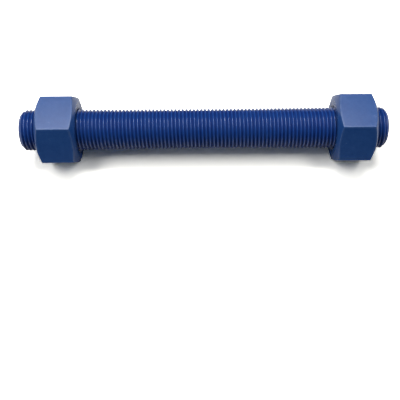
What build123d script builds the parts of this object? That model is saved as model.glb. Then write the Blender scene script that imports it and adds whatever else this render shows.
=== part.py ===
from build123d import *

import os
from math import radians, sqrt, tan

# Fully threaded stud bolt (8-pitch unified thread) carrying two heavy hex nuts.
#
# The stud lies along X with the middle of its axis at the origin. Each nut rests on one of
# its flats, so +Z is up and the part stands on the plane Z = -width_across_flats / 2.
# The threads themselves are not cut here: the stud is its major-diameter envelope and each
# nut's bore is the matching envelope with a running clearance.

# --- driving dimensions, in millimetres ---
major_diameter = 34.925
pitch = 25.4 / 8
threaded_length = 304.8  # full thread, between the two points

point_margin = 1.4  # the points end this far below the thread's root
point_angle = 45  # between the point's cone and the axis

width_across_flats = 55.56
nut_height = 33.3
outer_face_margin = 2.8  # the outer end face stops this far inside the flats
outer_chamfer_angle = 30  # between the outer chamfer's cone and the end face
bearing_face_margin = 4.0  # the same for the end it bears on, chamfered more gently
bearing_chamfer_angle = 20
corner_radius = 0.8  # forged corners of the hexagon

thread_clearance = 0.08  # radial play of a nut on the stud
countersink_margin = 1.8  # the bore's mouths open out this much
countersink_angle = 90

left_protrusion = 15.6  # stud end to the left nut's outer face
right_protrusion = 11.7  # stud end to the right nut's outer face

# --- sizes that follow ---
major_radius = major_diameter / 2
sharp_thread_height = pitch * sqrt(3) / 2
thread_depth = sharp_thread_height * 17 / 24
end_face_radius = major_radius - thread_depth - point_margin
point_length = (major_radius - end_face_radius) / tan(radians(point_angle))
half_length = threaded_length / 2 + point_length

half_height = nut_height / 2
inscribed_radius = width_across_flats / 2
circumscribed_radius = inscribed_radius * 2 / sqrt(3)
outer_face_radius = inscribed_radius - outer_face_margin
outer_chamfer_run = (circumscribed_radius - outer_face_radius) * tan(radians(outer_chamfer_angle))
bearing_face_radius = inscribed_radius - bearing_face_margin
bearing_chamfer_run = (circumscribed_radius - bearing_face_radius) * tan(radians(bearing_chamfer_angle))
bore_radius = major_radius + thread_clearance

# The nuts' bearing faces look towards each other, so the right one is turned about Z.
nut_places = {
    "left_nut": Location((left_protrusion + half_height - half_length, 0, 0)),
    "right_nut": Location((half_length - right_protrusion - half_height, 0, 0), (0, 0, 180)),
}

os.makedirs("parts", exist_ok=True)

# The stud is turned: one bar with a conical point at each end.
with BuildPart() as stud:
    with BuildSketch(Plane.XY):
        with BuildLine():
            Polyline(
                (-half_length, 0),
                (-half_length, end_face_radius),
                (-half_length + point_length, major_radius),
                (half_length - point_length, major_radius),
                (half_length, end_face_radius),
                (half_length, 0),
                close=True,
            )
        make_face()
    revolve(axis=Axis.X)

# The nut is a hexagonal forging, chamfered by a cone at each end, then bored. Its bearing
# face looks along +X.
with BuildPart() as heavy_hex_nut:
    with BuildSketch(Plane.YZ.offset(-half_height)) as hexagon:
        RegularPolygon(inscribed_radius, side_count=6, major_radius=False)
        fillet(hexagon.vertices(), radius=corner_radius)
    extrude(amount=nut_height)
    with BuildSketch(Plane.XY):
        with BuildLine():
            Polyline(
                (-half_height, 0),
                (-half_height, outer_face_radius),
                (outer_chamfer_run - half_height, circumscribed_radius),
                (half_height - bearing_chamfer_run, circumscribed_radius),
                (half_height, bearing_face_radius),
                (half_height, 0),
                close=True,
            )
        make_face()
    revolve(axis=Axis.X, mode=Mode.INTERSECT)
    with Locations(Plane.YZ.offset(half_height), Plane.ZY.offset(half_height)):
        CounterSinkHole(
            radius=bore_radius,
            counter_sink_radius=bore_radius + countersink_margin,
            counter_sink_angle=countersink_angle,
        )

stud.part.label = "stud"
export_step(stud.part, "parts/stud.step")

for name, place in nut_places.items():
    with BuildPart() as nut:
        with Locations(place):
            add(heavy_hex_nut.part)
    nut.part.label = name
    export_step(nut.part, f"parts/{name}.step")
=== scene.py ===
"""Studio scene of a fully threaded stud bolt that carries two heavy hex nuts.

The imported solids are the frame. Their boxes give the stud's diameter and length and each
nut's place, height and width across flats. The stud gets its right-hand helical thread here,
and each nut its internal thread, chamfers and softened edges. All three wear a satin blue
polymer coating that is rubbed along its edges.
"""

from __future__ import annotations

import logging
import math
from collections.abc import Callable
from dataclasses import dataclass, field
from enum import Enum

import bmesh
import bpy
import numpy as np
from mathutils import Matrix, Vector

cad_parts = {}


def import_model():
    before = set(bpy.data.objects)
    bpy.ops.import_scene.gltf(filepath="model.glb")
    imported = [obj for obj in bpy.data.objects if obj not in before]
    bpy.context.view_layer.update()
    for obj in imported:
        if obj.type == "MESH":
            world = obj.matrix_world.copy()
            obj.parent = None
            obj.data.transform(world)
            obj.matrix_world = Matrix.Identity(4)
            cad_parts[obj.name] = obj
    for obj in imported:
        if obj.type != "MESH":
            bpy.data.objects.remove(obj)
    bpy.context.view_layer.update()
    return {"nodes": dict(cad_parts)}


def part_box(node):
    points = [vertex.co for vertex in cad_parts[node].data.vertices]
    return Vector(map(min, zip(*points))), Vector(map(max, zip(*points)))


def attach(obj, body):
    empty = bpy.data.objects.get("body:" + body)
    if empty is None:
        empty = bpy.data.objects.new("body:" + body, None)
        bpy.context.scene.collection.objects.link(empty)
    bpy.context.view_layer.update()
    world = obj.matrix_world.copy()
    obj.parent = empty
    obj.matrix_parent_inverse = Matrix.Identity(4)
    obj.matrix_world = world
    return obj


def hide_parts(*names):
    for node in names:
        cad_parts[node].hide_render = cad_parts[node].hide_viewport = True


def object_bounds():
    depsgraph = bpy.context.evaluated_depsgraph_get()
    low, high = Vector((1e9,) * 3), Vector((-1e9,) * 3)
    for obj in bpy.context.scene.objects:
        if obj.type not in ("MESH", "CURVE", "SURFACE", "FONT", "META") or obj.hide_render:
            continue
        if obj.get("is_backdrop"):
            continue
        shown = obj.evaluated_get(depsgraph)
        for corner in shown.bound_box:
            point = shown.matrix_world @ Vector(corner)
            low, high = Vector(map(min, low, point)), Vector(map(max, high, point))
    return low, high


LOG = logging.getLogger("stud_scene")
MM = 0.001
TAU = 2 * math.pi
WHITE = (1.0, 1.0, 1.0)

# Point attributes of every mesh, which its coating reads. Depth also darkens the coat in the
# thread's roots, which is painted shade.
RUB = "rub"
DEPTH = "depth"

# A row of a profile holds a place along the axis, a radius and a rub value, and a column of
# an outline holds an angle, a radius and a rub value.
Row = tuple[float, float, float]
Column = tuple[float, float, float]
Profile = list[Row]

# A trim takes places and radii and gives radii.
Trim = Callable[[np.ndarray, np.ndarray], np.ndarray]

Socket = bpy.types.NodeSocket
FLOAT, COLOR, VECTOR = "NodeSocketFloat", "NodeSocketColor", "NodeSocketVector"


class Hand(Enum):
    """Which way a thread turns as it runs along +X."""

    RIGHT = 1
    LEFT = -1


# --------------------------------------------------------------------------- thread form


@dataclass(frozen=True)
class UnifiedThread:
    """A 60 degree unified thread along X.

    Attributes:
        pitch: Axial distance from crest to crest.
        major_radius: Radius over the external crests.
        start: Axial place of a crest where the angle is zero.
        hand: Which way the helix turns.
        flank_angle: Degrees between a flank and the plane square to the axis.
        crest_share: Half the width of an uncoated crest, as a share of the pitch.
        external_share: Depth of the external thread, as a share of its sharp triangle.
        internal_share: Depth of the internal thread, as a share of the same triangle.
        crest_softness: How far the coating rounds the crest's edges.
        root_softness: How far the coating fills the root's corners.
        crest_swell: How far the coating widens each side of a crest along the axis.
        flank_play: Radial clearance of the internal thread over the external one.
        internal_rub: Rub value of the internal crests.
    """

    pitch: float = 25.4 / 8 * MM
    major_radius: float = 34.925 / 2 * MM
    start: float = 0.99 * MM
    hand: Hand = Hand.RIGHT
    flank_angle: float = 30.0
    crest_share: float = 1 / 16
    external_share: float = 17 / 24
    internal_share: float = 5 / 8
    crest_softness: float = 0.15 * MM
    root_softness: float = 0.16 * MM
    crest_swell: float = 0.09 * MM
    flank_play: float = 0.15 * MM
    internal_rub: float = 0.4

    @property
    def slope(self) -> float:
        """Radial fall of a flank for each unit along the axis."""
        return 1 / math.tan(math.radians(self.flank_angle))

    @property
    def sharp_height(self) -> float:
        """Height of the thread's sharp triangle."""
        return self.pitch * self.slope / 2

    @property
    def root_radius(self) -> float:
        """Radius at the bottom of the external groove."""
        return self.major_radius - self.sharp_height * self.external_share

    @property
    def minor_radius(self) -> float:
        """Radius of the hole in the nut, over its internal crests."""
        return self.major_radius - self.sharp_height * self.internal_share + self.flank_play / 2

    def external_rows(self) -> Profile:
        """Lists one pitch of the stud's thread.

        Returns:
            Rows of axial offset from the crest, radius and rub, from root to root.
        """
        crest = self.pitch * self.crest_share + self.crest_swell
        root = crest + (self.major_radius - self.root_radius) / self.slope
        soft, fill = self.crest_softness, self.root_softness
        half: Profile = [
            # The crest's edge: off the crest, round the edge, onto the flank.
            (crest - soft, self.major_radius, 1.0),
            (crest + soft * 0.35, self.major_radius - soft * self.slope * 0.62, 0.75),
            (crest + soft * 1.6, self.major_radius - soft * self.slope * 1.6, 0.35),
            # The root's corner: off the flank, into the corner.
            (root - fill * 0.9, self.root_radius + fill * self.slope * 0.9, 0.0),
            (root + fill * 0.45, self.root_radius + fill * 0.28, 0.0),
        ]
        mirrored = [(-x, r, w) for x, r, w in reversed(half)]
        return [(-self.pitch / 2, self.root_radius, 0.0), *mirrored, *half]

    def internal_rows(self) -> Profile:
        """Lists one pitch of the nut's thread, which runs clear of the external one.

        Returns:
            Rows of axial offset from the groove, radius and rub, from crest to crest.
        """
        floor = self.major_radius + self.flank_play / 2
        shift = self.flank_play / self.slope + self.crest_swell
        edge = self.pitch * self.crest_share + shift
        crest = edge + (floor - self.minor_radius) / self.slope
        half: Profile = [(edge, floor, 0.0), (crest, self.minor_radius, self.internal_rub)]
        mirrored = [(-x, r, w) for x, r, w in reversed(half)]
        return [(-self.pitch / 2, self.minor_radius, self.internal_rub), *mirrored, *half]


# --------------------------------------------------------------------------- mesh gathering


@dataclass(frozen=True)
class SoftEdge:
    """An edge that is rounded by an arc and rubbed along it.

    Attributes:
        radius: Radius of the arc.
        steps: Number of chords in the arc.
        rub: Rub value at the middle of the arc.
        end_share: Rub value at the arc's ends, as a share of that.
    """

    radius: float
    steps: int
    rub: float
    end_share: float = 0.45

    def arc(
        self, corner: tuple[float, float], before: tuple[float, float], after: tuple[float, float]
    ) -> Profile:
        """Rounds one corner of a profile.

        Args:
            corner: Place and radius of the sharp corner.
            before: A point on the line that comes in.
            after: A point on the line that goes out.

        Returns:
            The arc's points, from the line that comes in to the line that goes out.
        """
        here, back, ahead = Vector(corner), Vector(before), Vector(after)
        inward, outward = (back - here).normalized(), (ahead - here).normalized()
        half = inward.angle(outward) / 2
        reach = self.radius / math.tan(half)
        centre = here + (inward + outward).normalized() * (self.radius / math.sin(half))
        first, last = here + inward * reach - centre, here + outward * reach - centre
        sweep = first.angle(last)
        points: Profile = []
        for step in range(self.steps + 1):
            share = step / self.steps
            mixed = first * math.sin((1 - share) * sweep) + last * math.sin(share * sweep)
            point = centre + mixed / math.sin(sweep)
            fade = self.end_share + (1 - self.end_share) * math.sin(math.pi * share)
            points.append((point.x, point.y, self.rub * fade))
        return points


@dataclass
class Skin:
    """Points and faces of one piece, with how rubbed and how deep each point lies.

    Attributes:
        points: Blocks of points, each an array of x, y and z.
        rubs: One value for each point, 1 on a rubbed edge.
        depths: One value for each point, 0 level with the stud's crests and 1 at its root.
        faces: Blocks of quads, each an array of indices of points.
        count: Number of points so far.
        spare_turns: Turns of thread wound beyond each cut, which squeeze flat onto its rim.
        cut_rub: Rub value where a cone or a countersink cuts a thread.
        cut_least: A thread counts as cut where it loses more than this.
        merge: Points closer than this become one.
        crisp: Edges sharper than this angle, in degrees, stay sharp.
    """

    points: list[np.ndarray] = field(default_factory=list)
    rubs: list[np.ndarray] = field(default_factory=list)
    depths: list[np.ndarray] = field(default_factory=list)
    faces: list[np.ndarray] = field(default_factory=list)
    count: int = 0
    spare_turns: int = 2
    cut_rub: float = 0.25
    cut_least: float = 1e-7
    merge: float = 1e-6
    crisp: float = 42.0

    def _add(
        self,
        x: np.ndarray,
        radius: np.ndarray,
        angle: np.ndarray,
        rub: np.ndarray,
        depth: np.ndarray,
    ) -> int:
        """Adds points given by axial place, radius and angle.

        Args:
            x: Axial places.
            radius: Radii.
            angle: Angles from +Y towards +Z.
            rub: Rub values.
            depth: Depth values.

        Returns:
            Index of the first point added.
        """
        first = self.count
        block = np.stack([x, radius * np.cos(angle), radius * np.sin(angle)], axis=-1)
        self.points.append(block.reshape(-1, 3))
        self.rubs.append(np.broadcast_to(rub, x.shape).reshape(-1))
        self.depths.append(np.broadcast_to(depth, x.shape).reshape(-1))
        self.count += x.size
        return first

    def _add_quads(self, *corners: np.ndarray) -> None:
        """Adds quads, given by the indices of their four corners in turn."""
        self.faces.append(np.stack(corners, axis=-1).reshape(-1, 4))

    def add_helicoid(
        self,
        thread: UnifiedThread,
        rows: Profile,
        angles: np.ndarray,
        span: tuple[float, float],
        trim: Trim,
    ) -> None:
        """Winds a thread's profile round the axis and cuts it square at both ends.

        Args:
            thread: The thread's pitch, start and hand.
            rows: The profile over one pitch.
            angles: Angles of one turn, rising from zero.
            span: Lowest and highest x of the thread.
            trim: Takes places and radii and gives radii cut by a cone or a countersink.
        """
        low, high = span
        steps, width = len(angles), len(rows)
        offset, radius, rub = (np.array(column) for column in zip(*rows))
        first = math.floor((low - thread.start) / thread.pitch) - self.spare_turns
        last = math.ceil((high - thread.start) / thread.pitch) + self.spare_turns
        column = np.arange((last - first) * steps)
        turned = angles[column % steps]
        turns = first + column // steps + thread.hand.value * turned / TAU
        centre = thread.start + thread.pitch * turns
        x = np.clip(centre[:, None] + offset[None, :], low, high)
        full = np.broadcast_to(radius, x.shape)
        cut = trim(x, full)
        depth = (thread.major_radius - full) / (thread.major_radius - thread.root_radius)
        worn = np.where(np.abs(cut - full) > self.cut_least, self.cut_rub, rub)
        start = self._add(x, cut, np.broadcast_to(turned[:, None], x.shape), worn, depth)
        here = start + column[:-1, None] * width + np.arange(width - 1)[None, :]
        self._add_quads(here, here + width, here + width + 1, here + 1)
        # Each turn's last row meets the first row of the next turn.
        seam = start + column[: -steps - 1] * width
        beyond = seam + steps * width
        self._add_quads(seam + width - 1, seam + 2 * width - 1, beyond + width, beyond)

    def add_revolved(self, sections: list[Profile], angles: np.ndarray) -> None:
        """Adds a closed band round the axis, one section for each angle.

        Args:
            sections: For each angle, the same number of places, radii and rubs.
            angles: Angles of one turn, rising from zero.
        """
        table = np.array(sections)
        steps, width = table.shape[:2]
        turned = np.broadcast_to(angles[:, None], (steps, width))
        x, radius, rub = table[..., 0], table[..., 1], table[..., 2]
        start = self._add(x, radius, turned, rub, np.zeros((steps, width)))
        column = np.arange(steps)[:, None]
        row = np.arange(width - 1)[None, :]
        here = start + column * width + row
        beside = start + (column + 1) % steps * width + row
        self._add_quads(here, beside, beside + 1, here + 1)

    def make(self, name: str) -> bpy.types.Object:
        """Joins the blocks where they meet and makes the object.

        Args:
            name: The piece's name.

        Returns:
            The new object, linked to the scene.
        """
        mesh = bpy.data.meshes.new(name)
        points, faces = np.concatenate(self.points), np.concatenate(self.faces)
        mesh.from_pydata(points.tolist(), [], faces.tolist())
        for label, blocks in ((RUB, self.rubs), (DEPTH, self.depths)):
            values = mesh.attributes.new(label, "FLOAT", "POINT")
            values.data.foreach_set("value", np.concatenate(blocks).astype(np.float32))
        work = bmesh.new()
        work.from_mesh(mesh)
        bmesh.ops.remove_doubles(work, verts=work.verts, dist=self.merge)
        loose = [vert for vert in work.verts if not vert.link_faces]
        bmesh.ops.delete(work, geom=loose, context="VERTS")
        bmesh.ops.recalc_face_normals(work, faces=work.faces)
        open_edges = sum(1 for edge in work.edges if not edge.is_manifold)
        work.to_mesh(mesh)
        work.free()
        mesh.shade_smooth()
        mesh.set_sharp_from_angle(angle=math.radians(self.crisp))
        piece = bpy.data.objects.new(name, mesh)
        bpy.context.scene.collection.objects.link(piece)
        triangles = sum(len(polygon.vertices) - 2 for polygon in mesh.polygons)
        LOG.info("%s: %d triangles, %d open edges", name, triangles, open_edges)
        return piece


# --------------------------------------------------------------------------- node groups


@dataclass
class NodeMaker:
    """Helper that wires one shader node tree.

    Attributes:
        tree: The node tree being filled.
    """

    tree: bpy.types.NodeTree

    def node(self, kind: str, **inputs: object) -> bpy.types.Node:
        """Adds a node and sets or links its named inputs.

        Args:
            kind: Blender's node type.
            **inputs: Values or sockets by input name, with underscores for spaces, or by "in"
                and the input's index; a name that starts with "set_" sets a property.

        Returns:
            The new node.
        """
        made = self.tree.nodes.new(kind)
        for key, value in inputs.items():
            if key.startswith("set_"):
                setattr(made, key.removeprefix("set_"), value)
        for key, value in inputs.items():
            if not key.startswith("set_"):
                self.feed(self._input(made, key), value)
        return made

    @staticmethod
    def _input(made: bpy.types.Node, key: str) -> Socket:
        """Finds an enabled input of a node.

        Args:
            made: The node.
            key: The input's name, with underscores for spaces, or "in" and its index.

        Returns:
            The input.
        """
        if key[:2] == "in" and key[2:].isdigit():
            return made.inputs[int(key[2:])]
        wanted = key.replace("_", " ").lower()
        return next(s for s in made.inputs if s.name.lower() == wanted and s.enabled)

    def feed(self, socket: Socket, value: object) -> None:
        """Links an input to another socket or sets its plain value.

        Args:
            socket: The input.
            value: A socket, a number or a linear colour.
        """
        if isinstance(value, Socket):
            self.tree.links.new(value, socket)
        elif isinstance(value, tuple) and len(value) == 3 and socket.type == "RGBA":
            socket.default_value = (*value, 1.0)
        else:
            socket.default_value = value

    def math(self, operation: str, a: object, b: object = 0.5, clamp: bool = False) -> Socket:
        """Adds a Math node.

        Args:
            operation: Blender's name of the operation.
            a: The first value.
            b: The second value, if the operation takes one.
            clamp: Whether the result is kept from 0 to 1.

        Returns:
            The result.
        """
        made = self.node("ShaderNodeMath", set_operation=operation, in0=a, in1=b)
        made.use_clamp = clamp
        return made.outputs[0]

    def product(self, first: object, *others: object) -> Socket:
        """Multiplies values with Math nodes.

        Args:
            first: The first value.
            *others: The values that it is multiplied by, in turn.

        Returns:
            The product.
        """
        for other in others:
            first = self.math("MULTIPLY", first, other)
        return first

    def mix(self, factor: object, a: object, b: object, blend: str = "MIX") -> Socket:
        """Adds a colour Mix node.

        Args:
            factor: Share of the second colour.
            a: The first colour.
            b: The second colour.
            blend: Blender's name of the blend.

        Returns:
            The mixed colour.
        """
        made = self.tree.nodes.new("ShaderNodeMix")
        made.data_type = "RGBA"
        made.blend_type = blend
        # The node has sockets for other types too: inputs 6 and 7 and output 2 are colours.
        for index, value in ((0, factor), (6, a), (7, b)):
            self.feed(made.inputs[index], value)
        return made.outputs[2]

    def grey(self, value: object) -> Socket:
        """Turns a value into a grey colour."""
        return self.node("ShaderNodeCombineColor", in0=value, in1=value, in2=value).outputs[0]

    def spread(
        self, value: object, low: float, high: float, to_low: object, to_high: object
    ) -> Socket:
        """Adds a Map Range node, which keeps its result between the two ends.

        Args:
            value: The value.
            low: The value that gives the first result.
            high: The value that gives the second one.
            to_low: The first result.
            to_high: The second result.

        Returns:
            The result.
        """
        ends = {"in1": low, "in2": high, "in3": to_low, "in4": to_high}
        return self.node("ShaderNodeMapRange", set_clamp=True, in0=value, **ends).outputs[0]

    def noise(self, place: object, scale: object, detail: float, rough: float) -> Socket:
        """Adds a Noise Texture.

        Args:
            place: The position that it is laid out on.
            scale: Cells in a metre.
            detail: Number of finer layers.
            rough: Strength of each layer against the one before.

        Returns:
            The noise's value.
        """
        cells = {"Scale": scale, "Detail": detail, "Roughness": rough}
        return self.node("ShaderNodeTexNoise", Vector=place, **cells).outputs[0]


@dataclass
class EffectMaker(NodeMaker):
    """The same helper for a group that several materials share.

    Attributes:
        given: What the group is given, by name.
        results: What the group puts out, by name.
    """

    given: bpy.types.NodeOutputs
    results: bpy.types.NodeInputs

    @classmethod
    def start(
        cls, name: str, inputs: dict[str, tuple[str, object]], outputs: dict[str, str]
    ) -> EffectMaker:
        """Makes an empty shader node group with named sockets.

        Args:
            name: The group's name.
            inputs: Socket type and default value by name.
            outputs: Socket type by name.

        Returns:
            The helper that fills the group.
        """
        tree = bpy.data.node_groups.new(name, "ShaderNodeTree")
        for label, (kind, default) in inputs.items():
            socket = tree.interface.new_socket(label, in_out="INPUT", socket_type=kind)
            if default is not None:
                socket.default_value = default
        for label, kind in outputs.items():
            tree.interface.new_socket(label, in_out="OUTPUT", socket_type=kind)
        entry = tree.nodes.new("NodeGroupInput")
        way_out = tree.nodes.new("NodeGroupOutput")
        return cls(tree, entry.outputs, way_out.inputs)

    def put(self, name: str, value: Socket) -> None:
        """Puts a value out of the group under its name."""
        self.feed(self.results[name], value)


def sprayed_coating_group() -> bpy.types.NodeTree:
    """Builds the group that gives a sprayed coating its mottle, grain and roughness.

    Returns:
        A group from position and colours to colour, roughness and height.
    """
    make = EffectMaker.start(
        "Sprayed Coating",
        {
            "Position": (VECTOR, None),
            "Body Color": (COLOR, (0.015, 0.085, 0.33, 1.0)),
            "Thin Color": (COLOR, (0.03, 0.12, 0.40, 1.0)),
            "Mottle Scale": (FLOAT, 260.0),
            "Mottle": (FLOAT, 0.35),
            "Grain Scale": (FLOAT, 1900.0),
            "Roughness": (FLOAT, 0.42),
            "Roughness Spread": (FLOAT, 0.10),
        },
        {"Color": COLOR, "Roughness": FLOAT, "Height": FLOAT},
    )
    given = make.given
    place = given["Position"]

    # Clouds of thick and thin coat, over wider ones.
    cloud = make.noise(place, given["Mottle Scale"], detail=4.0, rough=0.6)
    wide_scale = make.product(given["Mottle Scale"], 0.22)
    wide = make.noise(place, wide_scale, detail=2.0, rough=0.5)
    clouds = make.math("ADD", make.product(cloud, 0.6), make.product(wide, 0.4))
    thinness = make.product(make.spread(clouds, 0.36, 0.66, 0.0, 1.0), given["Mottle"])
    tint = make.mix(thinness, given["Body Color"], given["Thin Color"])

    # The spray's grain, which also flecks the colour by up to a tenth.
    grain = make.noise(place, given["Grain Scale"], detail=3.0, rough=0.65)
    fleck = make.grey(make.spread(grain, 0.30, 0.72, 0.90, 1.10))
    make.put("Color", make.mix(1.0, tint, fleck, "MULTIPLY"))

    uneven = make.product(make.math("SUBTRACT", clouds, 0.5), given["Roughness Spread"])
    make.put("Roughness", make.math("ADD", given["Roughness"], uneven, clamp=True))

    # Droplets and grain stand on the clouds.
    droplet_scale = make.product(given["Grain Scale"], 0.45)
    droplet = make.node("ShaderNodeTexVoronoi", Vector=place, Scale=droplet_scale).outputs[0]
    bumps = make.math("ADD", make.product(grain, 0.6), make.product(droplet, 0.4))
    make.put("Height", make.math("ADD", bumps, make.product(cloud, 0.8)))
    return make.tree


def rubbed_edges_group() -> bpy.types.NodeTree:
    """Builds the group that pales the coating where edges rub.

    Returns:
        A group from colour, edge and position to the paled colour and its mask.
    """
    make = EffectMaker.start(
        "Rubbed Edges",
        {
            "Position": (VECTOR, None),
            "Color": (COLOR, (0.5, 0.5, 0.5, 1.0)),
            "Rubbed Color": (COLOR, (0.10, 0.18, 0.42, 1.0)),
            "Edge": (FLOAT, 0.0),
            "Break Scale": (FLOAT, 420.0),
            "Amount": (FLOAT, 0.5),
        },
        {"Color": COLOR, "Mask": FLOAT},
    )
    given = make.given

    # The wear is broken up, but nowhere less than a quarter of its full strength.
    patches = make.noise(given["Position"], given["Break Scale"], detail=4.0, rough=0.65)
    broken = make.spread(patches, 0.34, 0.62, 0.25, 1.0)
    edge = make.spread(given["Edge"], 0.15, 0.95, 0.0, 1.0)
    mask = make.math("MULTIPLY", make.product(edge, broken), given["Amount"], clamp=True)
    make.put("Color", make.mix(mask, given["Color"], given["Rubbed Color"]))
    make.put("Mask", mask)
    return make.tree


def turned_marks_group() -> bpy.types.NodeTree:
    """Builds the group that lays faint turning rings on faces square to the axis.

    Returns:
        A group from position and normal to the height of the rings.
    """
    make = EffectMaker.start(
        "Turned Marks",
        {
            "Position": (VECTOR, None),
            "Normal": (VECTOR, None),
            "Feed": (FLOAT, 0.35 * MM),
            "Amount": (FLOAT, 0.5),
        },
        {"Height": FLOAT},
    )
    given = make.given
    place = make.node("ShaderNodeSeparateXYZ", in0=given["Position"]).outputs
    y_squared = make.math("POWER", place["Y"], 2.0)
    z_squared = make.math("POWER", place["Z"], 2.0)
    radius = make.math("SQRT", make.math("ADD", y_squared, z_squared))
    turns = make.math("DIVIDE", radius, given["Feed"])
    ring = make.math("SINE", make.product(turns, TAU))

    # The rings fade out as a face turns from square to the axis by some 8 to 22 degrees.
    facing = make.node("ShaderNodeSeparateXYZ", in0=given["Normal"]).outputs["X"]
    square = make.spread(make.math("ABSOLUTE", facing), 0.93, 0.99, 0.0, 1.0)
    make.put("Height", make.product(ring, square, given["Amount"]))
    return make.tree


# --------------------------------------------------------------------------- finishes


@dataclass(frozen=True)
class CoatingFinish:
    """A satin fluoropolymer coating over steel.

    Attributes:
        name: The material's name.
        body: Linear colour of the full coat.
        thin: Linear colour where the coat is thin.
        rubbed: Linear colour of a rubbed edge.
        painted_root_shade: Linear colour of the full coat down at the thread's root, darker as
            painted shade in the groove.
        rub: How strongly edges pale.
        burnish: Weight of the clear gloss on a rubbed edge.
        burnish_roughness: Roughness of that gloss.
        smoothed: How much smoother the coat itself gets where it is rubbed.
        mottle: How strongly thick and thin coat differ.
        mottle_scale: Cells of mottle in a metre.
        roughness: Mean roughness.
        dulled: How much rougher the coat is down at the thread's root.
        index: Index of refraction.
        relief: Height of the grain.
        rings: Height of the turning rings, as a share of the grain's.
    """

    name: str
    body: tuple[float, float, float] = (0.0128, 0.0720, 0.2800)
    thin: tuple[float, float, float] = (0.0220, 0.0950, 0.3300)
    rubbed: tuple[float, float, float] = (0.1100, 0.2000, 0.4300)
    painted_root_shade: tuple[float, float, float] = (0.0120, 0.0650, 0.2800)
    rub: float = 0.5
    burnish: float = 0.3
    burnish_roughness: float = 0.22
    smoothed: float = 0.08
    mottle: float = 0.5
    mottle_scale: float = 260.0
    roughness: float = 0.34
    dulled: float = 0.25
    index: float = 1.5
    relief: float = 0.018 * MM
    rings: float = 1.4

    def material(self, groups: dict[str, bpy.types.NodeTree]) -> bpy.types.Material:
        """Builds the material.

        Args:
            groups: The shared node groups by name.

        Returns:
            The new material.
        """
        made = bpy.data.materials.new(self.name)
        made.use_nodes = True
        made.node_tree.nodes.clear()
        make = NodeMaker(made.node_tree)
        place = make.node("ShaderNodeTexCoord").outputs["Object"]
        normal = make.node("ShaderNodeNewGeometry").outputs["Normal"]
        rub = make.node("ShaderNodeAttribute", set_attribute_name=RUB).outputs["Fac"]
        depth = make.node("ShaderNodeAttribute", set_attribute_name=DEPTH).outputs["Fac"]
        coat = make.node(
            "ShaderNodeGroup",
            set_node_tree=groups["coating"],
            Position=place,
            # Painted shade: the body colour darkens towards the thread's root by the depth
            # attribute.
            Body_Color=make.mix(depth, self.body, self.painted_root_shade),
            Thin_Color=self.thin,
            Mottle_Scale=self.mottle_scale,
            Mottle=self.mottle,
            Roughness=self.roughness,
        ).outputs
        edges = make.node(
            "ShaderNodeGroup",
            set_node_tree=groups["edges"],
            Position=place,
            Color=coat["Color"],
            Rubbed_Color=self.rubbed,
            Edge=rub,
            Amount=self.rub,
        ).outputs
        marks = make.node(
            "ShaderNodeGroup",
            set_node_tree=groups["marks"],
            Position=place,
            Normal=normal,
            Amount=self.rings,
        ).outputs
        height = make.math("ADD", coat["Height"], marks["Height"])
        bump = make.node("ShaderNodeBump", Strength=1.0, Distance=self.relief, Height=height)
        smoothed = make.product(edges["Mask"], self.smoothed)
        satin = make.math("SUBTRACT", coat["Roughness"], smoothed)
        shader = make.node(
            "ShaderNodeBsdfPrincipled",
            Base_Color=edges["Color"],
            Roughness=make.math("ADD", satin, make.product(depth, self.dulled)),
            IOR=self.index,
            Coat_Weight=make.product(edges["Mask"], self.burnish),
            Coat_Roughness=self.burnish_roughness,
            Normal=bump.outputs[0],
        )
        make.node("ShaderNodeOutputMaterial", Surface=shader.outputs[0])
        return made


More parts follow.
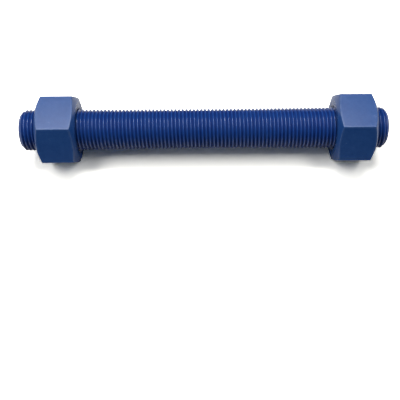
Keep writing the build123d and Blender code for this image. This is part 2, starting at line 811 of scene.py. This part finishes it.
@dataclass(frozen=True)
class PaperFinish:
    """The matt white sweep that the stud stands on.

    How white the camera sees it, how white the coating mirrors it and how much light it
    sends back are set apart, so that the paper is white to the camera without more light.

    Attributes:
        name: The material's name.
        seen: Linear colour to the camera, over 1 because the lamps light it weakly.
        mirrored: How white it is in the part's gloss, close to the part, a painted pool of light
            that the part mirrors.
        faded: The same beyond the edge of that painted pool of light.
        lit: Distances in front and behind where that edge starts and ends.
        bounced: How much light it sends back onto the part.
        roughness: Roughness of the paper.
        grain: How much its tone varies.
        grain_scale: Cells of grain in a metre.
        painted_fill_glow: Linear colour that it glows with to the camera near the part, painted
            light that lifts its shadows.
        swept: Distances from the part where it turns into the plain white backdrop.
    """

    name: str = "studio_paper"
    seen: tuple[float, float, float] = (2.62, 2.58, 2.44)
    mirrored: float = 0.90
    faded: float = 0.2
    lit: tuple[float, float] = (0.09, 0.22)
    bounced: float = 0.35
    roughness: float = 0.5
    grain: float = 0.006
    grain_scale: float = 900.0
    painted_fill_glow: tuple[float, float, float] = (0.022, 0.026, 0.020)
    swept: tuple[float, float] = (0.35, 0.60)

    def material(self) -> bpy.types.Material:
        """Builds the floor's material.

        Returns:
            The new material.
        """
        made = bpy.data.materials.new(self.name)
        made.use_nodes = True
        made.cycles.emission_sampling = "NONE"
        made.node_tree.nodes.clear()
        make = NodeMaker(made.node_tree)
        place = make.node("ShaderNodeTexCoord").outputs["Object"]
        path = make.node("ShaderNodeLightPath").outputs
        camera = path["Is Camera Ray"]

        # The paper's level, by what looks at it.
        gloss = make.math("MAXIMUM", path["Is Glossy Ray"], path["Is Transmission Ray"])
        away = make.math("ABSOLUTE", make.node("ShaderNodeSeparateXYZ", in0=place).outputs["Y"])
        # Painted light: in the part's gloss the paper is whiter close to the part than farther
        # off.
        mirrored = make.spread(away, *self.lit, self.mirrored, self.faded)
        level = make.spread(gloss, 0.0, 1.0, self.bounced, mirrored)
        grain = make.noise(place, self.grain_scale, detail=3.0, rough=0.55)
        tone = make.grey(make.spread(grain, 0.3, 0.7, 1.0 - self.grain, 1.0))
        color = make.mix(1.0, make.mix(camera, make.grey(level), self.seen), tone, "MULTIPLY")
        paper = make.node("ShaderNodeBsdfDiffuse", Color=color, Roughness=self.roughness)

        # Far from the part the camera sees a plain white backdrop instead.
        distance = make.node("ShaderNodeVectorMath", set_operation="LENGTH", in0=place)
        far = make.spread(distance.outputs["Value"], *self.swept, 0.0, 1.0)
        backdrop = make.product(far, camera)
        sheet = make.node("ShaderNodeMixShader", in0=backdrop, in1=paper.outputs[0])
        # Near the part the paper glows faintly to the camera, painted light that lifts its
        # shadows; far off it glows plain white.
        glow = make.node(
            "ShaderNodeEmission", Color=make.mix(backdrop, self.painted_fill_glow, WHITE), Strength=camera
        )
        sweep = make.node("ShaderNodeAddShader", in0=sheet.outputs[0], in1=glow.outputs[0])
        make.node("ShaderNodeOutputMaterial", Surface=sweep.outputs[0])
        return made


FINISHES = {
    "stud_coating": CoatingFinish(
        "stud_coat",
        body=(0.0105, 0.0620, 0.3080),
        rubbed=(0.0200, 0.0780, 0.3350),
        # Painted shade in the stud's thread roots, much darker than the body.
        painted_root_shade=(0.0030, 0.0250, 0.1800),
        rub=1.0,
        burnish=0.9,
        mottle=0.35,
        roughness=0.235,
        index=1.45,
    ),
    "nut_coating": CoatingFinish("nut_coat", mottle=0.8, roughness=0.26),
}


# --------------------------------------------------------------------------- pieces


@dataclass
class ThreadedStud:
    """The bar: one right-hand thread from point to point.

    Attributes:
        thread: The thread's form.
        half_length: Half the length between the two end faces.
        face_radius: Radius of each flat end face, where its edge would be sharp.
        face_edge: How each end face's edge is rounded.
        cone_rub: Rub value of the points' cones beside that edge.
        face_rings: Radii of the rings of points over an end face, as shares of its own.
        turn_steps: Number of steps in one turn of the helix.
        name: The piece's name.
    """

    thread: UnifiedThread
    half_length: float
    face_radius: float = 14.115 * MM
    face_edge: SoftEdge = SoftEdge(0.35 * MM, steps=4, rub=0.8)
    cone_rub: float = 0.3
    face_rings: tuple[float, ...] = (0.95, 0.8, 0.55, 0.3, 0.12, 0.0)
    turn_steps: int = 84
    name: str = "stud_thread"

    def _point(self, x: np.ndarray, radius: np.ndarray) -> np.ndarray:
        """Cuts radii by the 45 degree cones of both points."""
        return np.minimum(radius, self.face_radius + self.half_length - np.abs(x))

    def _end_rows(self, side: int) -> Profile:
        """Lists the profile from the cone, over the face's rounded edge, to the axis.

        Args:
            side: 1 for the right end, -1 for the left one.

        Returns:
            Rows of place, radius and rub.
        """
        end, face, inset = self.half_length, self.face_radius, self.face_edge.radius
        cone = (end - inset, face + inset)
        arc = self.face_edge.arc((end, face), cone, (end, 0.0))
        flat = [(end, face * share, 0.0) for share in self.face_rings]
        return [(side * x, r, w) for x, r, w in [(*cone, self.cone_rub), *arc, *flat]]

    def build(self) -> bpy.types.Object:
        """Builds the stud's mesh.

        Returns:
            The new piece.
        """
        angles = np.arange(self.turn_steps) * (TAU / self.turn_steps)
        reach = self.half_length - self.face_edge.radius
        rows = self.thread.external_rows()
        skin = Skin()
        skin.add_helicoid(self.thread, rows, angles, (-reach, reach), self._point)
        for side in (-1, 1):
            skin.add_revolved([self._end_rows(side)] * self.turn_steps, angles)
        return skin.make(self.name)


@dataclass(frozen=True)
class NutEnd:
    """One end of a nut: a flat face inside a conical chamfer.

    Attributes:
        face_margin: How far the flat face stops inside the hexagon's flats.
        angle: Degrees between the chamfer's cone and the face.
    """

    face_margin: float
    angle: float


@dataclass
class HeavyHexNut:
    """A heavy hexagon nut, chamfered and countersunk at both ends.

    Attributes:
        name: The piece's name.
        thread: The thread that it runs on.
        centre: Axial place of the nut's middle.
        half_height: Half its height along the axis.
        inscribed: Half the width across the flats.
        outward: 1 where its outer end looks along +X, -1 where it looks along -X.
        outer: The end that looks away from the joint.
        bearing: The end that bears on the joint.
        bore_radius: Radius of the bore, before its thread.
        sink_margin: How far the countersinks open out beyond the bore.
        corner: Radius of the forged corners.
        corner_steps: Number of chords in the arc of a corner.
        crease: How the lines between chamfers and flats are rounded.
        rim: How the edges of the end faces are rounded.
        mouth: How the countersinks' mouths are rounded.
        sink_rub: Rub value of the countersinks beside their mouths.
        mouth_band: Width of the rubbed band round a mouth.
        rim_band: Width of the rubbed band inside an end face's edge.
        chamfer_rub: Rub value halfway along a chamfer.
        crease_keep: Share of a flat's rub value that the crease beside it has at least.
        flat_columns: Distance from a corner and rub value of the columns of points on a flat.
        flat_rows: Distance from a crease and rub value of the rows of points on a flat.
    """

    name: str
    thread: UnifiedThread
    centre: float
    half_height: float
    inscribed: float
    outward: int
    outer: NutEnd = NutEnd(face_margin=2.8 * MM, angle=30.0)
    bearing: NutEnd = NutEnd(face_margin=4.0 * MM, angle=20.0)
    bore_radius: float = 17.5425 * MM
    sink_margin: float = 1.8 * MM
    corner: float = 0.8 * MM
    corner_steps: int = 8
    crease: SoftEdge = SoftEdge(0.45 * MM, steps=5, rub=1.0)
    rim: SoftEdge = SoftEdge(0.7 * MM, steps=3, rub=0.7)
    mouth: SoftEdge = SoftEdge(0.25 * MM, steps=3, rub=0.8)
    sink_rub: float = 0.3
    mouth_band: float = 0.9 * MM
    rim_band: float = 0.8 * MM
    chamfer_rub: float = 0.1
    crease_keep: float = 0.8
    flat_columns: tuple[tuple[float, float], ...] = (
        (0.5 * MM, 0.55),
        (1.4 * MM, 0.15),
        (3.2 * MM, 0.0),
        (6.2 * MM, 0.0),
        (9.4 * MM, 0.0),
        (12.5 * MM, 0.0),
    )
    flat_rows: tuple[tuple[float, float], ...] = (
        (0.8 * MM, 0.5),
        (1.7 * MM, 0.15),
        (3.2 * MM, 0.0),
        (6.0 * MM, 0.0),
        (9.0 * MM, 0.0),
    )

    @property
    def mouth_radius(self) -> float:
        """Radius of a countersink at the end face, where its edge would be sharp."""
        return self.bore_radius + self.sink_margin

    def _corner_columns(self, turn: float) -> list[Column]:
        """Lists the columns round one forged corner, rubbed most in its middle.

        Args:
            turn: The corner's angle.

        Returns:
            Angle, radius and rub of each column.
        """
        centre = (self.inscribed - self.corner) / math.cos(math.radians(30))
        columns: list[Column] = []
        for step in range(self.corner_steps + 1):
            lean = math.radians(60 * step / self.corner_steps - 30)
            y = centre * math.cos(turn) + self.corner * math.cos(turn + lean)
            z = centre * math.sin(turn) + self.corner * math.sin(turn + lean)
            rub = 0.5 + 0.5 * math.cos(lean * 3)
            columns.append((math.atan2(z, y) % TAU, math.hypot(y, z), rub))
        return columns

    def _flat_columns(self, middle: float) -> list[Column]:
        """Lists the columns over one flat, which are closest together beside its corners.

        Args:
            middle: Angle of the flat's middle.

        Returns:
            Angle, radius and rub of each column.
        """
        reach = (self.inscribed - self.corner) * math.tan(math.radians(30))
        spots = [(0.0, 0.0)]
        for inset, rub in self.flat_columns:
            spots += [(inset - reach, rub), (reach - inset, rub)]
        columns: list[Column] = []
        for offset, rub in spots:
            angle = (middle + math.atan2(offset, self.inscribed)) % TAU
            columns.append((angle, math.hypot(self.inscribed, offset), rub))
        return columns

    def _outline(self) -> list[Column]:
        """Lists the hexagon's outline, with corners to the front and the back.

        Returns:
            Angle, radius and rub of each column, with angles rising from zero.
        """
        columns: list[Column] = []
        for k in range(6):
            turn = math.radians(60 * k)
            columns += self._corner_columns(turn)
            columns += self._flat_columns(turn + math.radians(30))
        return sorted(columns)

    def _side_rows(self, side: NutEnd, radius: float, rub: float) -> Profile:
        """Lists half a section of the nut, from a countersink's mouth to the nut's middle.

        Args:
            side: The end that this half closes with.
            radius: Outer radius of the hexagon in this section.
            rub: Rub value of this section's flat.

        Returns:
            Rows of place from the nut's middle, radius and rub.
        """
        end, mouth = self.half_height, self.mouth_radius
        face = self.inscribed - side.face_margin
        crease = end - (radius - face) * math.tan(math.radians(side.angle))
        sink = (end - self.mouth.radius, mouth - self.mouth.radius)
        rows: Profile = [(*sink, self.sink_rub)]
        rows += self.mouth.arc((end, mouth), sink, (end, face))
        rows.append((end, mouth + self.mouth_band, 0.0))
        rows.append((end, (mouth + face) / 2, 0.0))
        rows.append((end, face - self.rim_band, 0.0))
        rows += self.rim.arc((end, face), (end, mouth), (crease, radius))
        rows.append(((end + crease) / 2, (face + radius) / 2, self.chamfer_rub))
        rows += self.crease.arc((crease, radius), (end, face), (0.0, radius))
        for inset, fade in self.flat_rows:
            rows.append((crease - inset, radius, max(fade, rub)))
        least = rub * self.crease_keep
        return [(x, r, max(w, least) if x <= crease else w) for x, r, w in rows]

    def _sink(self, x: np.ndarray, radius: np.ndarray) -> np.ndarray:
        """Opens radii out to the countersinks of both faces."""
        return np.maximum(radius, self.mouth_radius - (self.half_height - np.abs(x - self.centre)))

    def build(self) -> bpy.types.Object:
        """Builds the nut's mesh.

        Returns:
            The new piece.
        """
        columns = self._outline()
        angles = np.array([angle for angle, _, _ in columns])
        sections: list[Profile] = []
        for _, radius, rub in columns:
            outer = self._side_rows(self.outer, radius, rub)
            bearing = self._side_rows(self.bearing, radius, rub)
            whole = outer + [(0.0, radius, rub)] + [(-x, r, w) for x, r, w in reversed(bearing)]
            sections.append([(self.centre + self.outward * x, r, w) for x, r, w in whole])
        reach = self.half_height - self.mouth.radius
        span = (self.centre - reach, self.centre + reach)
        skin = Skin()
        skin.add_helicoid(self.thread, self.thread.internal_rows(), angles, span, self._sink)
        skin.add_revolved(sections, angles)
        return skin.make(self.name)


@dataclass
class StudAssembly:
    """The stud and its two nuts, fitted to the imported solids.

    Attributes:
        groups: The shared node groups by name.
    """

    groups: dict[str, bpy.types.NodeTree]

    def build(self) -> None:
        """Builds, dresses and seats the three pieces."""
        low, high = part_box("stud")
        thread = UnifiedThread(major_radius=(high.y - low.y) / 2)
        stud = ThreadedStud(thread, half_length=(high.x - low.x) / 2)
        self._seat(stud.build(), "stud", "stud_coating")
        for node, outward in (("left_nut", -1), ("right_nut", 1)):
            low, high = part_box(node)
            nut = HeavyHexNut(
                name=f"{node}_forging",
                thread=thread,
                centre=(low.x + high.x) / 2,
                half_height=(high.x - low.x) / 2,
                inscribed=(high.z - low.z) / 2,
                outward=outward,
            )
            self._seat(nut.build(), node, "nut_coating")

    def _seat(self, piece: bpy.types.Object, node: str, slot: str) -> None:
        """Dresses a piece and ties it to its body, which has the name of its one solid.

        Args:
            piece: The piece.
            node: The solid that it stands for.
            slot: The record's material slot.
        """
        finish = FINISHES[slot]
        if finish.name not in bpy.data.materials:
            finish.material(self.groups)
        piece.data.materials.append(bpy.data.materials[finish.name])
        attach(piece, node)
        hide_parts(node)
        LOG.info("%s rides on %s in %s", piece.name, node, finish.name)


# --------------------------------------------------------------------------- studio


@dataclass(frozen=True)
class Softbox:
    """A rectangular soft lamp that faces the part.

    Attributes:
        name: The lamp's name.
        lean: Degrees that it stands behind straight overhead.
        swing: Degrees that it stands to the right of straight overhead.
        distance: Distance from the part.
        width: Size along X.
        depth: Size along the other way.
        radiance: Brightness of its face, where 1 is white.
    """

    name: str
    lean: float
    swing: float
    distance: float
    width: float
    depth: float
    radiance: float

    def hang(self) -> None:
        """Adds the lamp to the scene."""
        lamp = bpy.data.lights.new(self.name, "AREA")
        lamp.shape = "RECTANGLE"
        lamp.size, lamp.size_y = self.width, self.depth
        lamp.energy = self.radiance * math.pi * self.width * self.depth
        holder = bpy.data.objects.new(self.name, lamp)
        bpy.context.scene.collection.objects.link(holder)
        leant = Matrix.Rotation(math.radians(-self.lean), 4, "X")
        swung = Matrix.Rotation(math.radians(self.swing), 4, "Y")
        holder.matrix_world = leant @ swung @ Matrix.Translation((0, 0, self.distance))
        LOG.info("lamp %s hung", self.name)


@dataclass
class Studio:
    """Floor, lamps, room and camera.

    Attributes:
        floor_reach: Half the size of the floor.
        room: Brightness of the room that the part mirrors and is lit by.
        backdrop: Brightness of the room to the camera, where 1 is white.
        paper: The floor's finish.
        lamps: The soft lamps.
        lens: Focal length, in millimetres.
        sensor: Width of the camera's sensor, in millimetres.
        clip: Distances between which the camera sees.
        elevation: Degrees that the camera looks down from level.
        roll: Radians that the stud's right end rises in the camera's view.
        offset: Place of the part's middle to the right of, above and ahead of the camera.
    """

    floor_reach: float = 6.0
    room: float = 0.0
    backdrop: float = 1.0
    paper: PaperFinish = PaperFinish()
    lamps: tuple[Softbox, ...] = (
        Softbox("rear_softbox", 20.0, -2.4, 1.2, width=1.00, depth=0.42, radiance=8.0),
        Softbox("left_wing", -5.0, -29.4, 1.376, width=0.39, depth=0.64, radiance=5.2),
        Softbox("right_wing", -5.0, 29.4, 1.376, width=0.39, depth=0.64, radiance=3.6),
        Softbox("left_fill", 0.0, -60.0, 1.0, width=0.8, depth=0.8, radiance=0.9),
        Softbox("right_fill", 0.0, 60.0, 1.0, width=0.8, depth=0.8, radiance=0.45),
    )
    lens: float = 54.0
    sensor: float = 36.0
    clip: tuple[float, float] = (0.01, 50.0)
    elevation: float = 66.0
    roll: float = 0.0083
    offset: tuple[float, float, float] = (3.13 * MM, 61.4 * MM, 517.8 * MM)

    def build(self) -> None:
        """Builds the whole studio."""
        self._floor()
        self._room()
        for lamp in self.lamps:
            lamp.hang()
        self._camera()

    def _floor(self) -> None:
        """Lays the floor under the nuts' lowest flats."""
        low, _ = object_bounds()
        mesh = bpy.data.meshes.new("studio_floor")
        sides = ((-1, -1), (1, -1), (1, 1), (-1, 1))
        corners = [(x * self.floor_reach, y * self.floor_reach, low.z) for x, y in sides]
        mesh.from_pydata(corners, [], [(0, 1, 2, 3)])
        mesh.materials.append(self.paper.material())
        floor = bpy.data.objects.new("studio_floor", mesh)
        bpy.context.scene.collection.objects.link(floor)
        floor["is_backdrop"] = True
        LOG.info("floor laid at %.4f", low.z)

    def _room(self) -> None:
        """Gives the world one brightness for the part and another to the camera."""
        world = bpy.data.worlds.new("studio_room")
        world.use_nodes = True
        world.node_tree.nodes.clear()
        make = NodeMaker(world.node_tree)
        path = make.node("ShaderNodeLightPath").outputs
        level = make.spread(path["Is Camera Ray"], 0.0, 1.0, self.room, self.backdrop)
        glow = make.node("ShaderNodeBackground", Color=WHITE, Strength=level)
        make.node("ShaderNodeOutputWorld", Surface=glow.outputs[0])
        bpy.context.scene.world = world
        LOG.info("room glows at %.1f, backdrop at %.1f", self.room, self.backdrop)

    def _camera(self) -> None:
        """Stands the camera and makes it the scene's."""
        tilt = math.radians(self.elevation)
        ahead = Vector((0, math.cos(tilt), -math.sin(tilt)))
        above = Vector((0, math.sin(tilt), math.cos(tilt)))
        across = Vector((1, 0, 0))
        right = across * math.cos(self.roll) - above * math.sin(self.roll)
        up = across * math.sin(self.roll) + above * math.cos(self.roll)
        x, y, z = self.offset
        data = bpy.data.cameras.new("studio_camera")
        data.lens, data.sensor_width = self.lens, self.sensor
        data.clip_start, data.clip_end = self.clip
        camera = bpy.data.objects.new("studio_camera", data)
        bpy.context.scene.collection.objects.link(camera)
        axes = Matrix((right, up, -ahead)).transposed().to_4x4()
        camera.matrix_world = Matrix.Translation(-(right * x + up * y + ahead * z)) @ axes
        bpy.context.scene.camera = camera
        LOG.info("camera stands at %s", [round(v, 4) for v in camera.matrix_world.translation])


# --------------------------------------------------------------------------- making


def main() -> None:
    """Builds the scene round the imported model."""
    logging.basicConfig(level=logging.INFO, format="%(name)s: %(message)s")
    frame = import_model()
    LOG.info("frame holds %s", ", ".join(sorted(frame["nodes"])))
    bpy.context.scene.view_settings.view_transform = "Standard"
    groups = {
        "coating": sprayed_coating_group(),
        "edges": rubbed_edges_group(),
        "marks": turned_marks_group(),
    }
    StudAssembly(groups).build()
    Studio().build()


if __name__ == "__main__":
    main()
